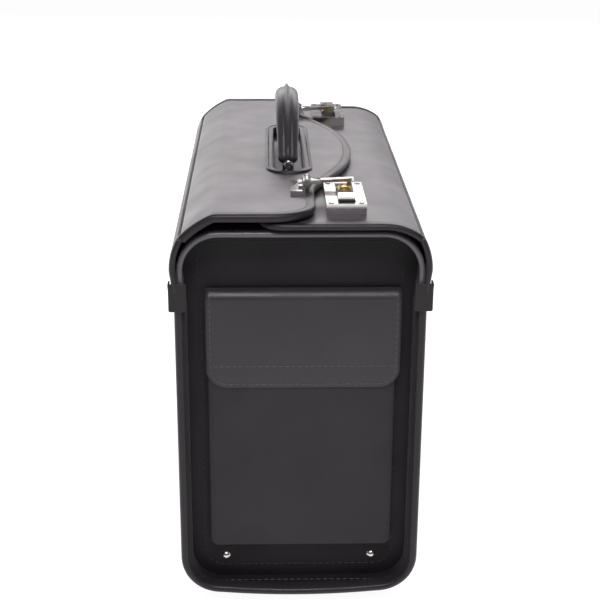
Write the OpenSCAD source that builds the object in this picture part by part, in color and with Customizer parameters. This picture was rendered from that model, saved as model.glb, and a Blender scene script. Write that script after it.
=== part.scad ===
// Pilot's rolling flight case: a stiff leather-covered box with two overlapping
// top lids, combination locks, an end pocket, a pull-out trolley and two wheels.
// X is across the case, +Y runs from the pocket end to the trolley end, +Z is up.
// The origin is on the ground under the middle of the whole object.

/* [Case] */
// Length of the case over its two rims
case_l = 460; // [430:1:480]
// Width over the rims, low on the case
case_w = 210; // [200:1:220]
// Height of the rim's lower edge above the ground
lift = 10; // [10:1:12]
// Thickness of the leather-covered side wall
wall_t = 4; // [3:0.5:5]
// Depth that each end panel is set back inside its rim
recess = 25; // [20:1:30]
// Radius of the bottom corners
foot_r = 36; // [30:1:38]

/* [Top] */
// Radius of the side wall's upper corners
corner_r = 58; // [57:0.5:59]
// Height of the upper corners' centres above the rim's lower edge
corner_z = 315.5; // [315:0.5:316]
// Half the distance between the upper corners' centres
corner_x = 52; // [51:0.5:53]
// Angle of the lid seams on the upper corners
seam_a = 30.7; // [30:0.1:31.4]
// Height of the inner lid's flat top above the rim's lower edge
inner_top = 357; // [356.6:0.1:357.4]
// Height of the outer lid's flat top above the rim's lower edge
lid_top = 365.6; // [365:0.2:368]
// Thickness of the outer lid at its bound edge
outer_lid_t = 6.8; // [6:0.2:7]
// Thickness of the inner lid
inner_lid_t = 4.6; // [4:0.2:5]
// How far the lids reach past the rims
lid_over = 6; // [4:1:8]
// Furthest reach of the outer lid's tongue from the middle of the case
tongue_x = 54.5; // [52:0.5:56]

/* [Handle] */
// Distance of the handle's pivot from the middle of the case, across it
handle_x = -8.5; // [-10:0.5:-7]
// Height of the bowed grip's centre line at its crest, above the rim's lower edge
grip_z = 417; // [414:0.5:420]
// Radius of the padded grip at its crest
grip_r = 10.5; // [9:0.5:11]
// Half the spacing of the handle's two pivots
pivot_y = 76; // [74:1:78]

/* [Locks] */
// Distance of each lock from the middle of the hardware, along the case
lock_y = 167.5; // [165:0.5:170]
// Radius of a number dial
dial_r = 6.8; // [6.4:0.1:7]

/* [Trolley and wheels] */
// Radius of a wheel
wheel_r = 20; // [19:0.5:21]
// Half the spacing of the trolley's tubes
tube_x = 36; // [34:1:38]
// Length of an outer trolley tube
tube_l = 300; // [270:5:305]

/* [Hidden] */
$fn = 48;

// Leather colours and hardware colours
leather = [0.18, 0.17, 0.18];
leather_dark = [0.11, 0.10, 0.11];
chrome = [0.80, 0.80, 0.80];
brass = [0.84, 0.70, 0.40];
plastic = [0.07, 0.07, 0.08];
aluminium = [0.62, 0.63, 0.65];

// The case sits a little towards the pocket end, so that the trolley balances it
case_y = -10;
end_y = case_l / 2;
rim_d = 8;
rim_w = 8.5;
panel_y = end_y - recess;
panel_t = 4;
flange_t = 3.5;
body_y = end_y - rim_d;
lid_y = end_y + lid_over;
lean_z = 280;
rim_top = 291;
tab_low = 280;
tab_high = 305;
tab_in = 96;
tab_out = corner_x + corner_r + 1.3;
tab_t = 1.3;

// The arch of piping over each end: its corners' centres, radius and bead
arch_x = 69;
arch_z = 314;
arch_r = 32.5;
arch_bead = 2.5;

// The seams, which are the lids' hinge axes
hinge_x = corner_x + corner_r * cos(seam_a);
hinge_z = corner_z + corner_r * sin(seam_a);
hinge_gap = 1.66;
hinge_r = 1.1;
function arc_angle(length, r) = length / r * 180 / PI;
gap_a = arc_angle(hinge_gap, corner_r);

// The inner lid's round shoulder, from its seam up to its flat top
shoulder_r = 50;
shoulder_z = inner_top - shoulder_r;
shoulder_a = asin((hinge_z - shoulder_z) / shoulder_r);
shoulder_x = hinge_x - shoulder_r * cos(shoulder_a);

// The outer lid's gently curved slope, from its seam up to the fold at its flat top
slope_r = 88;
slope_a = 47;
slope_x = -hinge_x + slope_r * sin(slope_a);
slope_z = hinge_z - slope_r * cos(slope_a);

// Lid outlines
border = 8;
fold_r = 12;
fold_z = lid_top - fold_r;
fold_a = acos((fold_z - slope_z) / (slope_r - fold_r));
fold_x = slope_x - (slope_r - fold_r) * sin(fold_a);
inner_edge_x = -35;
inner_corner_r = 20;
outer_corner_r = 35;
outer_edge_x = 13;
tongue_a = 24;
tongue_r = 260;
notch_r = 30;

// Hardware on the lids
hw_y = -5.5;
slot_x = -7.5;
slot_half = 13.5;
slot_end = 78.5;
trim_w = 8.1;
pivot_z = 364;
lock_x0 = 21.7;
lock_x1 = 55.5;
lock_l = 70;
lock_top = 367;
lock_cut = 1.7;
win_x0 = 31.5;
win_x1 = 46.5;
dial_x = 39;
dial_z = 365.5;
dial_pitch = 3.9;
dial_t = 3.5;
shaft_r = 1.65;
fit = 0.05;
hasp_x = 6.7;
hasp_z = 372.5;
pin_r = 1.5;

// End pocket
pocket_x0 = -80;
pocket_x1 = 83;
pocket_z0 = 45;
pocket_z1 = 278;
pocket_y = 214;
pocket_t = 1.4;
flap_x0 = -81.5;
flap_x1 = 87;
flap_low = 203;
flap_t = 2.6;
flap_corner = 18;
flap_pivot_y = 206.6;
flap_pivot_z = 291.3;
flap_bead = 0.9;

// Trolley and wheels
tube_y = 246;
tube_low = 14;
grip_low = 328;
grip_high = 346;
axle_y = 222;
axle_z = wheel_r - lift;
axle_r = 3;
wheel_x = 60;
tyre_w = 20;

// ---------- outline helpers ----------

function arc(cx, cy, r, a0, a1, n = 10) =
    [for (i = [0:n]) let (a = a0 + (a1 - a0) * i / n) [cx + r * cos(a), cy + r * sin(a)]];
function reversed(p) = [for (i = [len(p) - 1:-1:0]) p[i]];
function flip_x(p) = [for (q = reversed(p)) [-q[0], q[1]]];
function flip_y(p) = [for (q = reversed(p)) [q[0], -q[1]]];

// Half of the side wall's section, d inside its outer face, from the bottom to angle a
function wall_side(d, a) = concat(
    arc(case_w / 2 - foot_r, foot_r, foot_r - d, -90, 0, 8),
    [[case_w / 2 - d, lean_z]],
    arc(corner_x, corner_z, corner_r - d, 0, a, 8));
function wall_path(d, a) = concat(flip_x(wall_side(d, a)), wall_side(d, a));

// The side wall's outer face leans out between lean_z and the upper corners
function lean_x(z) = case_w / 2
    + max(0, z - lean_z) / (corner_z - lean_z) * (corner_x + corner_r - case_w / 2);

// The closed outline of an end tray, d inside the side wall's outer face
function tray_side(d) = concat(
    arc(case_w / 2 - foot_r, foot_r, foot_r - d, -90, 0, 8),
    [[case_w / 2 - d, lean_z]],
    arc(arch_x, arch_z, arch_r + arch_bead + wall_t - d, 0, 90, 10));
function tray(d) = concat(flip_x(tray_side(d)), tray_side(d));

// The rim's section below the tabs
function rim_side(d) = concat(
    arc(case_w / 2 - foot_r, foot_r, foot_r - d, -90, 0, 8),
    [[case_w / 2 - d, lean_z], [lean_x(rim_top) - d, rim_top]]);
function rim_path(d) = concat(flip_x(rim_side(d)), rim_side(d));

module band(outer, inner) polygon(concat(outer, reversed(inner)));

// The outer lid's section, d inside its top face
function outer_lid_path(d) = concat(
    arc(slope_x, slope_z, slope_r - d, 90 + slope_a - arc_angle(hinge_gap, slope_r),
        90 + fold_a, 6),
    arc(fold_x, fold_z, fold_r - d, 90 + fold_a, 90, 4),
    [[tongue_x + 4, lid_top - d]]);

// The inner lid's section, d inside its top face
function inner_lid_path(d) = concat(
    arc(shoulder_x, shoulder_z, shoulder_r - d,
        shoulder_a + arc_angle(hinge_gap, shoulder_r), 90, 8),
    [[inner_edge_x - 4, inner_top - d]]);

// The outer lid's plan, d inside its edge: a round corner, a hollow and a long tongue
tongue_start_x = tongue_x - tongue_r * (1 - cos(tongue_a));
tongue_start_y = -tongue_r * sin(tongue_a);
notch_end_x = outer_edge_x + notch_r * (1 - cos(tongue_a));
notch_y = tongue_start_y - (tongue_start_x - notch_end_x) / tan(tongue_a)
    - notch_r * sin(tongue_a);
function outer_plan_half(d) = concat(
    [[-hinge_x - 6, -lid_y + d]],
    arc(outer_edge_x - outer_corner_r, -lid_y + outer_corner_r, outer_corner_r - d,
        -90, 0, 12),
    arc(outer_edge_x + notch_r, notch_y, notch_r + d, 180, 180 - tongue_a, 6),
    arc(tongue_x - tongue_r, 0, tongue_r - d, -tongue_a, 0, 10));
function outer_plan(d) = concat(outer_plan_half(d), flip_y(outer_plan_half(d)));

function inner_plan_half(d) = concat(
    [[hinge_x + 6, -lid_y + d]],
    arc(inner_edge_x + inner_corner_r, -lid_y + inner_corner_r, inner_corner_r - d,
        -90, -180, 8));
function inner_plan(d) = concat(inner_plan_half(d), flip_y(inner_plan_half(d)));

// ---------- placing helpers ----------

module placed() translate([0, case_y, lift]) children();
module far_side() mirror([0, 1, 0]) children();
module both_ends() {
    children();
    far_side() children();
}
module both_sides() {
    children();
    mirror([1, 0, 0]) children();
}
// Extrudes an X-Z section along Y
module along_y(y0, y1) translate([0, y1, 0]) rotate([90, 0, 0]) linear_extrude(y1 - y0) children();
module rod_y(x, z, r, y0, y1) translate([x, y1, z]) rotate([90, 0, 0]) cylinder(r = r, h = y1 - y0);
module rod_x(y, z, r, x0, x1) translate([x0, y, z]) rotate([0, 90, 0]) cylinder(r = r, h = x1 - x0);
module block(x0, x1, y0, y1, z0, z1) translate([x0, y0, z0]) cube([x1 - x0, y1 - y0, z1 - z0]);
// A long slot outline with round ends
module slot_shape(half_w, half_l) {
    square([2 * half_w, 2 * half_l], center = true);
    for (side = [-1, 1]) translate([0, side * half_l]) circle(half_w);
}
// The part of an upright shape that stands in the near or the far lock's place
module at_lock(far) {
    if (far) translate([0, hw_y, 0]) mirror([0, 1, 0]) translate([0, -lock_y, 0]) children();
    else translate([0, hw_y - lock_y, 0]) children();
}

// ---------- the case ----------

// Room in the case for the two wheel housings
module housing_room(extra = 0) both_sides()
    block(wheel_x - 18 - extra, wheel_x + 18 + extra, 196 - extra, 240, -1, 36 + extra);

module side_wrap() color(leather) placed() difference() {
    along_y(-body_y, body_y)
        band(wall_path(0, seam_a - gap_a), wall_path(wall_t, seam_a - gap_a));
    housing_room();
}

// Distances inside the side wall's outer face, beyond its thickness
lining_gap = 0.2;
lining_in = 1.4;
board_low = wall_t + lining_in + 0.1;
board_high = board_low + 3;

module lining() color(leather_dark) placed()
    along_y(-panel_y + panel_t + 1, 194)
        band(wall_path(wall_t + lining_gap, 20), wall_path(wall_t + lining_in, 20));

module base_board() color([0.25, 0.22, 0.18]) placed()
    block(-68, 68, -panel_y + panel_t + 2, 193, board_low, board_high);

module end_tray() {
    difference() {
        along_y(-body_y, -panel_y + panel_t) polygon(tray(wall_t));
        along_y(-body_y - 1, -panel_y) polygon(tray(wall_t + flange_t));
        for (x = [-67, 67]) translate([x, -panel_y + 5, 28])
            rotate([90, 0, 0]) cylinder(r = 2, h = 12);
    }
}

module near_end_panel() color(leather_dark) placed() end_tray();

module far_end_panel() color(leather_dark) placed() difference() {
    far_side() along_y(-body_y, -panel_y + panel_t) polygon(tray(wall_t));
    far_side() along_y(-body_y - 1, -panel_y) polygon(tray(wall_t + flange_t));
    housing_room();
}

module rim_binding() along_y(-end_y, -body_y) band(rim_path(0), rim_path(rim_w));
module near_rim_binding() color(leather) placed() rim_binding();
module far_rim_binding() color(leather) placed() difference() {
    far_side() rim_binding();
    housing_room();
}

// A round bead that runs up from the tabs and over the end in an arch
module arch_piping() translate([0, -end_y + arch_bead, 0]) {
    both_sides() translate([arch_x + arch_r, 0, rim_top + 1])
        cylinder(r = arch_bead, h = arch_z - rim_top - 1);
    both_sides() translate([arch_x, 0, arch_z]) rotate([90, 0, 0])
        rotate_extrude(angle = 90) translate([arch_r, 0]) circle(arch_bead);
    rod_x(0, arch_z + arch_r, arch_bead, -arch_x, arch_x);
}
module near_arch_piping() color(leather_dark) placed() arch_piping();
module far_arch_piping() color(leather_dark) placed() far_side() arch_piping();

// Four folded leather tabs that cover the joins in the rims' bindings
module rim_tabs() color(leather) placed() both_ends() both_sides() {
    block(tab_in, tab_out, -end_y - 3, -end_y - 1, tab_low, tab_high);
    block(tab_out - tab_t, tab_out, -end_y - 1, -end_y + 10, tab_low, tab_high);
}

// The side wall's own bound edge, from each tab up to the seam
module wrap_bindings() color(leather) placed() both_ends() both_sides()
    along_y(-end_y - 4, -body_y) band(
        arc(corner_x, corner_z, corner_r, 0, seam_a - gap_a, 8),
        arc(corner_x, corner_z, corner_r - 5, 0, seam_a - gap_a, 8));

// The bead on the seam, with the web that joins it to the side wall
module hinge_strip() {
    rod_y(hinge_x, hinge_z, hinge_r, -body_y, body_y);
    translate([hinge_x, -body_y, hinge_z]) rotate([0, 90 - seam_a, 0])
        translate([0, 0, -hinge_r]) cube([hinge_gap - 0.1, 2 * body_y, 1]);
}
module right_hinge_strip() color(leather_dark) placed() hinge_strip();
module left_hinge_strip() color(leather_dark) placed() mirror([1, 0, 0]) hinge_strip();

module divider() color(leather_dark) placed() intersection() {
    block(-94, 94, 38, 42, board_high + 0.1, 270);
    along_y(30, 50) polygon(tray(wall_t + lining_in + 0.2));
}

module feet() color(plastic) for (x = [-62, 62]) translate([x, case_y - 190, 0]) {
    cylinder(r = 12, h = 3);
    translate([0, 0, 3]) cylinder(r1 = 12, r2 = 10, h = lift - 3);
}

module end_rivets() color(chrome) placed() for (x = [-67, 67])
    translate([x, -panel_y, 28]) rotate([90, 0, 0]) {
        rotate_extrude() intersection() {
            translate([0, -3.2]) circle(5.5);
            square([4.5, 3]);
        }
        translate([0, 0, -panel_t - 1]) cylinder(r = 2, h = panel_t + 1);
        translate([0, 0, -panel_t - 1.8]) cylinder(r = 4, h = 0.8);
    }

// ---------- the pocket ----------

module near_pocket() color(leather) placed() difference() {
    block(pocket_x0, pocket_x1, -pocket_y, -panel_y, pocket_z0, pocket_z1);
    block(pocket_x0 + pocket_t, pocket_x1 - pocket_t, -pocket_y + pocket_t, -panel_y + 1,
        pocket_z0 + pocket_t, pocket_z1 + 1);
    translate([1.5, -pocket_y + 1, 225]) rotate([90, 0, 0]) cylinder(r = 7, h = 3);
}

module pocket_magnet() color(chrome) placed()
    translate([1.5, -pocket_y + 1, 225]) rotate([90, 0, 0]) cylinder(r = 7, h = 1);

// The flap turns on a bead under its top fold
module pocket_flap() color(leather) placed() {
    plate_in = pocket_y + 0.4;
    plate_out = plate_in + flap_t;
    fold_out = plate_out - flap_pivot_y - 1.3;
    fold_z0 = flap_pivot_z + 1.3 - fold_out;
    difference() {
        union() {
            rod_x(-flap_pivot_y, flap_pivot_z, 1.3, flap_x0, flap_x1);
            block(flap_x0, flap_x1, -flap_pivot_y - 1.3, -flap_pivot_y,
                flap_pivot_z - 1.3, flap_pivot_z + 1.3);
            translate([flap_x0, -flap_pivot_y - 1.3, fold_z0]) rotate([90, 0, 90])
                linear_extrude(flap_x1 - flap_x0) band(
                    arc(0, 0, fold_out, 90, 180, 8), arc(0, 0, fold_out - flap_t, 90, 180, 8));
        }
        rod_x(-flap_pivot_y, flap_pivot_z, flap_bead + fit, flap_x0 - 1, flap_x1 + 1);
    }
    translate([0, -plate_in, 0]) rotate([90, 0, 0]) linear_extrude(flap_t) difference() {
        polygon(concat(
            [[flap_x0, fold_z0]],
            arc(flap_x0 + flap_corner, flap_low + flap_corner, flap_corner, 180, 270, 8),
            arc(flap_x1 - flap_corner, flap_low + flap_corner, flap_corner, 270, 360, 8),
            [[flap_x1, fold_z0]]));
        translate([1.5, 225]) circle(7);
    }
}

module flap_magnet() color(chrome) placed()
    translate([1.5, -pocket_y - 0.4, 225]) rotate([90, 0, 0]) cylinder(r = 7, h = flap_t);

// ---------- the lids ----------

module outer_lid_panel() color(leather) placed() difference() {
    intersection() {
        along_y(-lid_y, lid_y) band(outer_lid_path(0.6), outer_lid_path(6));
        translate([0, 0, 300]) linear_extrude(80) polygon(outer_plan(border));
    }
    translate([slot_x, hw_y, 340]) linear_extrude(40) slot_shape(slot_half + 1.5, slot_end);
}

module outer_lid_binding() color(leather_dark) placed() intersection() {
    along_y(-lid_y, lid_y) band(outer_lid_path(0), outer_lid_path(outer_lid_t));
    translate([0, 0, 300]) linear_extrude(80) difference() {
        polygon(outer_plan(0));
        polygon(concat([[-hinge_x - 20, -lid_y + border]], outer_plan(border),
            [[-hinge_x - 20, lid_y - border]]));
    }
}

// A bound collar that lines the slot and laps over the lid's top
module slot_trim() color(leather) placed() translate([slot_x, hw_y, 0]) {
    translate([0, 0, lid_top - 6]) linear_extrude(7.8) difference() {
        slot_shape(slot_half + 1.5, slot_end);
        slot_shape(slot_half, slot_end);
    }
    translate([0, 0, lid_top - 0.6]) linear_extrude(2.4) difference() {
        slot_shape(slot_half + trim_w, slot_end);
        slot_shape(slot_half + 1.5, slot_end);
    }
}

module inner_lid_panel() color(leather) placed() intersection() {
    along_y(-lid_y, lid_y) band(inner_lid_path(0), inner_lid_path(inner_lid_t));
    translate([0, 0, 300]) linear_extrude(80) polygon(inner_plan(border));
}

module inner_lid_binding() color(leather_dark) placed() intersection() {
    along_y(-lid_y, lid_y) band(inner_lid_path(0), inner_lid_path(inner_lid_t));
    translate([0, 0, 300]) linear_extrude(80) difference() {
        polygon(inner_plan(0));
        polygon(concat([[hinge_x + 20, -lid_y + border]], inner_plan(border),
            [[hinge_x + 20, lid_y - border]]));
    }
}

// ---------- locks and hasps ----------

module lock_case() difference() {
    union() {
        difference() {
            block(lock_x0, lock_x1, -lock_l / 2, lock_l / 2, inner_top, lock_top);
            block(win_x0, win_x1, -31.5, 30.5, inner_top + 1, lock_top + 1);
        }
        for (y = [-1.6, 11.8]) block(win_x0, win_x1, y, y + 1.2, inner_top + 1, lock_top + 1.5);
    }
    rod_y(dial_x, dial_z, shaft_r + fit, -5, 20);
    for (x = [lock_x0 + 4, lock_x1 - 4], y = [-31, 31])
        translate([x, y, inner_top + 2]) cylinder(r = 1.2, h = 12);
    // The corner beside the outer lid's edge is cut off
    translate([lock_x0, lock_l / 2, inner_top - 1]) rotate([0, 0, 45])
        cube([2 * lock_cut, 2 * lock_cut, 20], center = true);
}
module near_lock_case() color(chrome) placed() at_lock(false) lock_case();
module far_lock_case() color(chrome) placed() at_lock(true) lock_case();

module lock_screws() color(chrome) placed() for (far = [false, true]) at_lock(far)
    for (x = [lock_x0 + 4, lock_x1 - 4], y = [-31, 31]) {
        translate([x, y, inner_top + 2]) cylinder(r = 1.2, h = lock_top - inner_top - 2);
        translate([x, y, lock_top]) difference() {
            cylinder(r = 2.4, h = 0.7);
            translate([-3, -0.3, 0.3]) cube([6, 0.6, 1]);
        }
    }

// A release button with the shaft that runs through the three dials
module slider() {
    block(win_x0 + 0.4, win_x1 - 0.4, -27, -13, inner_top + 1.4, 371);
    rod_y(dial_x, dial_z, shaft_r, -13, 13.4);
}
module near_slider() color(chrome) placed() at_lock(false) slider();
module far_slider() color(chrome) placed() at_lock(true) slider();

dial_mid = 5.7;
module dial(i) difference() {
    union() {
        y = dial_mid + (i - 2) * dial_pitch;
        rod_y(dial_x, dial_z, dial_r, y - dial_t / 2 + 0.6, y + dial_t / 2 - 0.6);
        rod_y(dial_x, dial_z, dial_r - 0.5, y - dial_t / 2, y + dial_t / 2);
    }
    rod_y(dial_x, dial_z, shaft_r + fit, -10, 20);
}
module near_dial_1() color(brass) placed() at_lock(false) dial(1);
module near_dial_2() color(brass) placed() at_lock(false) dial(2);
module near_dial_3() color(brass) placed() at_lock(false) dial(3);
module far_dial_1() color(brass) placed() at_lock(true) dial(1);
module far_dial_2() color(brass) placed() at_lock(true) dial(2);
module far_dial_3() color(brass) placed() at_lock(true) dial(3);

// Hinge plate of a hasp, with its two outer knuckles
hasp_mid = 17;
module hasp_plate() difference() {
    union() {
        block(-8, 4.5, hasp_mid - 19, hasp_mid + 19, lid_top - 0.6, 369);
        for (side = [-1, 1]) {
            y = hasp_mid + side * 6.6;
            rod_y(hasp_x, hasp_z, 4.2, y - 2.3, y + 2.3);
            block(-1, hasp_x, y - 2.3, y + 2.3, 367, 371);
        }
    }
    block(-5.5, -1.5, hasp_mid - 14, hasp_mid + 14, 368, 370);
    rod_y(hasp_x, hasp_z, pin_r, hasp_mid - 20, hasp_mid + 20);
}
module near_hasp_plate() color(chrome) placed() at_lock(false) hasp_plate();
module far_hasp_plate() color(chrome) placed() at_lock(true) hasp_plate();

module hasp_pins() color(chrome) placed() for (far = [false, true]) at_lock(far)
    rod_y(hasp_x, hasp_z, pin_r, hasp_mid - 9.6, hasp_mid + 9.6);

// A hasp arm: knuckle, collar, tapered strap and the hook that drops into the lock
hasp_tilt = 3;
module hasp() difference() {
    union() {
        rod_y(hasp_x, hasp_z, 4, hasp_mid - 3.9, hasp_mid + 3.9);
        translate([hasp_x, hasp_mid, hasp_z]) rotate([0, -hasp_tilt, 0]) {
            translate([0, 0, -1.8]) linear_extrude(3.4)
                polygon([[2, -3.9], [12, -3.9], [12, 3.9], [2, 3.9]]);
            translate([0, 0, -1.2]) linear_extrude(2.6)
                polygon([[9, -3.6], [39, -2.8], [41, -1.4], [41, 1.4], [39, 2.8], [9, 3.6]]);
            block(34.5, 38.5, -2, 2, -9.4, 0);
        }
    }
    rod_y(hasp_x, hasp_z, pin_r + fit, 0, 40);
}
module near_hasp() color(chrome) placed() at_lock(false) hasp();
module far_hasp() color(chrome) placed() at_lock(true) hasp();

// ---------- the handle ----------

// Two upright loops on the inner lid that carry the handle's pins
module handle_posts() color(chrome) placed() translate([handle_x, hw_y, 0]) both_ends()
    difference() {
        union() {
            rod_y(0, pivot_z, 4.3, -pivot_y - 6.4, -pivot_y - 4);
            block(-4.3, 4.3, -pivot_y - 6.4, -pivot_y - 4, inner_top, pivot_z);
            block(-5.5, 5.5, -pivot_y - 9.5, -pivot_y - 4, inner_top, inner_top + 1.2);
        }
        rod_y(0, pivot_z, 1.8, -pivot_y - 10, -pivot_y);
    }

module handle_shackles() color(chrome) placed() translate([handle_x, hw_y, 0]) both_ends() {
    rod_y(0, pivot_z, 5, -pivot_y - 3.6, -pivot_y + 5);
    block(-5, 5, -pivot_y - 3.6, -pivot_y + 5, pivot_z, 371);
    rod_y(0, pivot_z, 1.75, -pivot_y - 8, -pivot_y - 3.6);
}

// The grip is a round bow about bow_z, with a raised seam along its outer side. Below bow_a its
// two legs run on straight and narrower
bow_r = 82;
bow_a = 50;
bow_z = grip_z - bow_r;
leg_low = 371.2;
leg_r = 8;
leg_run = 36;
leg_root = 2;
leg_step = 0.5;
seam_w = 3;
seam_h = grip_r + 1;
module handle_grip() color(leather_dark) placed() translate([handle_x, hw_y, 0]) {
    translate([0, 0, bow_z]) rotate([90, 0, 90]) rotate([0, 0, 90 - bow_a])
        rotate_extrude(angle = 2 * bow_a) {
            translate([bow_r, 0]) circle(grip_r);
            translate([bow_r, -seam_w / 2]) square([seam_h, seam_w]);
        }
    intersection() {
        both_ends() translate([0, -bow_r * sin(bow_a), bow_z + bow_r * cos(bow_a)])
            rotate([90 + bow_a, 0, 0]) translate([0, 0, -leg_root])
                cylinder(r1 = grip_r - leg_step, r2 = leg_r, h = leg_run);
        block(-20, 20, -120, 120, leg_low, 460);
    }
}

// ---------- trolley ----------

module pair_at(x) for (side = [-1, 1]) translate([side * x, tube_y, 0]) children();
module box_tube(w, d, t, z0, z1) translate([0, 0, z0]) linear_extrude(z1 - z0) difference() {
    square([w, d], center = true);
    square([w - 2 * t, d - 2 * t], center = true);
}

module trolley_outer_tubes() color(aluminium) placed()
    pair_at(tube_x) box_tube(18, 12, 1.2, tube_low, tube_low + tube_l);

module trolley_mid_tubes() color(aluminium) placed()
    pair_at(tube_x) box_tube(15.2, 9.2, 1, tube_low + 4, tube_low + tube_l + 4);

module trolley_inner_tubes() color(aluminium) placed()
    pair_at(tube_x) box_tube(12.8, 6.8, 1, tube_low + 8, grip_low + 4);

module bracket(z0, z1) difference() {
    union() {
        block(-40, 40, panel_y, 239, z0, z1);
        block(-tube_x - 13, tube_x + 13, 238.4, 254, z0, z1);
    }
    pair_at(tube_x) translate([-9, -6, z0 - 1]) cube([18, 12, z1 - z0 + 2]);
    block(-tube_x + 13, tube_x - 13, 214, 246, z0 - 1, z1 + 1);
    for (x = [-32, 32]) translate([x, panel_y - 1, (z0 + z1) / 2])
        rotate([-90, 0, 0]) cylinder(r = 2.2, h = 60);
}
module trolley_top_bracket() color(plastic) placed() bracket(292, 310);
module trolley_base_bracket() color(plastic) placed() bracket(tube_low, tube_low + 18);

module trolley_screws() color(chrome) placed() for (z = [301, tube_low + 9], x = [-32, 32])
    translate([x, panel_y, z]) rotate([-90, 0, 0]) {
        cylinder(r = 2.2, h = 8);
        translate([0, 0, 8]) cylinder(r = 2.1, h = 3);
    }

module trolley_grip() color(plastic) placed() difference() {
    union() {
        block(-54, 54, tube_y - 8, tube_y + 10, grip_low, grip_high);
        for (side = [-1, 1]) translate([side * 54, tube_y + 1, grip_low])
            cylinder(r = 9, h = grip_high - grip_low);
    }
    pair_at(tube_x) translate([-6.4, -3.4, grip_low - 1]) cube([12.8, 6.8, 5]);
    block(-12.3, 12.3, tube_y - 4.3, tube_y + 6.3, grip_high - 6, grip_high + 1);
}

module trolley_button() color(aluminium) placed()
    block(-12, 12, tube_y - 4, tube_y + 6, grip_high - 3, grip_high + 1.5);

// ---------- wheels ----------

module housing() difference() {
    block(wheel_x - 18, wheel_x + 18, 196, 238, 1, 36);
    block(wheel_x - 14, wheel_x + 14, 199.5, 240, -2, 32.5);
    rod_x(axle_y, axle_z, axle_r, wheel_x - 30, wheel_x + 30);
}
module wheel_housings() color(plastic) placed() both_sides() housing();

module wheel_axles() color(chrome) placed() both_sides()
    rod_x(axle_y, axle_z, axle_r, wheel_x - 18, wheel_x + 18);

module tyre(x) color([0.05, 0.05, 0.05]) placed()
    translate([x - tyre_w / 2, axle_y, axle_z]) rotate([0, 90, 0]) difference() {
        union() {
            translate([0, 0, 2]) cylinder(r = wheel_r, h = tyre_w - 4);
            cylinder(r = wheel_r - 2, h = tyre_w);
        }
        translate([0, 0, -1]) cylinder(r = wheel_r - 6, h = tyre_w + 2);
    }
module wheel_hub(x) color([0.35, 0.35, 0.37]) placed()
    translate([x, axle_y, axle_z]) rotate([0, 90, 0]) difference() {
        union() {
            cylinder(r = wheel_r - 6, h = tyre_w - 4, center = true);
            cylinder(r = 6, h = tyre_w + 4, center = true);
        }
        cylinder(r = axle_r + fit, h = tyre_w + 8, center = true);
    }
module left_tyre() tyre(-wheel_x);
module right_tyre() tyre(wheel_x);
module left_wheel_hub() wheel_hub(-wheel_x);
module right_wheel_hub() wheel_hub(wheel_x);

// ---------- drawn nodes ----------

side_wrap();
lining();
base_board();
near_end_panel();
far_end_panel();
near_rim_binding();
far_rim_binding();
near_arch_piping();
far_arch_piping();
rim_tabs();
wrap_bindings();
left_hinge_strip();
right_hinge_strip();
near_pocket();
pocket_magnet();
end_rivets();
feet();
divider();
wheel_housings();
wheel_axles();
trolley_outer_tubes();
trolley_top_bracket();
trolley_base_bracket();
trolley_screws();
outer_lid_panel();
outer_lid_binding();
slot_trim();
near_hasp_plate();
far_hasp_plate();
hasp_pins();
inner_lid_panel();
inner_lid_binding();
handle_posts();
near_lock_case();
far_lock_case();
lock_screws();
near_hasp();
far_hasp();
near_slider();
far_slider();
near_dial_1();
near_dial_2();
near_dial_3();
far_dial_1();
far_dial_2();
far_dial_3();
handle_grip();
handle_shackles();
pocket_flap();
flap_magnet();
trolley_mid_tubes();
trolley_inner_tubes();
trolley_grip();
trolley_button();
left_tyre();
left_wheel_hub();
right_tyre();
right_wheel_hub();
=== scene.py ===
"""Looks of the pilot's rolling flight case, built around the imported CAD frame. Metres, +Z up."""
import math
import bmesh
import bpy
import numpy as np
from mathutils import Matrix, Vector


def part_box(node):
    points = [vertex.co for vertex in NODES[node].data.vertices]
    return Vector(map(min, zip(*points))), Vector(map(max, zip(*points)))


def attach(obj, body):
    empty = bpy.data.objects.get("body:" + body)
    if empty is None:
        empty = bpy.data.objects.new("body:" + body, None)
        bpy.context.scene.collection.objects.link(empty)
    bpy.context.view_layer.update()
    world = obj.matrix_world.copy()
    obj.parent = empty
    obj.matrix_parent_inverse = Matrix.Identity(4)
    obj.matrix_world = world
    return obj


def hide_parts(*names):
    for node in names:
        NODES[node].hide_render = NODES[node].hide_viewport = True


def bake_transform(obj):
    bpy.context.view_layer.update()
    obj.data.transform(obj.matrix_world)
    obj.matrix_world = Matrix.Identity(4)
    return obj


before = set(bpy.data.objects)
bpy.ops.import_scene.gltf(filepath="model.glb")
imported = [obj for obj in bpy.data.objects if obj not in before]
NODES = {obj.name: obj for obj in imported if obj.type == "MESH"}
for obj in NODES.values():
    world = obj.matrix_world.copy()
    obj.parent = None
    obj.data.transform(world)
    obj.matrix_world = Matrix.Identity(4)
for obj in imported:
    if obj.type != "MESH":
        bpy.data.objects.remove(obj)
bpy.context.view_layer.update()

MM = 0.001


def lo(node):
    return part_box(node)[0]


def hi(node):
    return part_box(node)[1]


# ---------------------------------------------------------------- camera, light and floor

CAMERA_AT = Vector((-29.0, -1263.5, 678.6)) * MM
CAMERA_YAW, CAMERA_PITCH, CAMERA_ROLL = (math.radians(a) for a in (1.58, 20.31, 0.318))
LENS_MM = 78
AMBIENT = 0.12
FLOOR_HALF = 6.0
FLOOR_GLOW = 0.93
WARM = (1, 0.965, 0.98)


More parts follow.
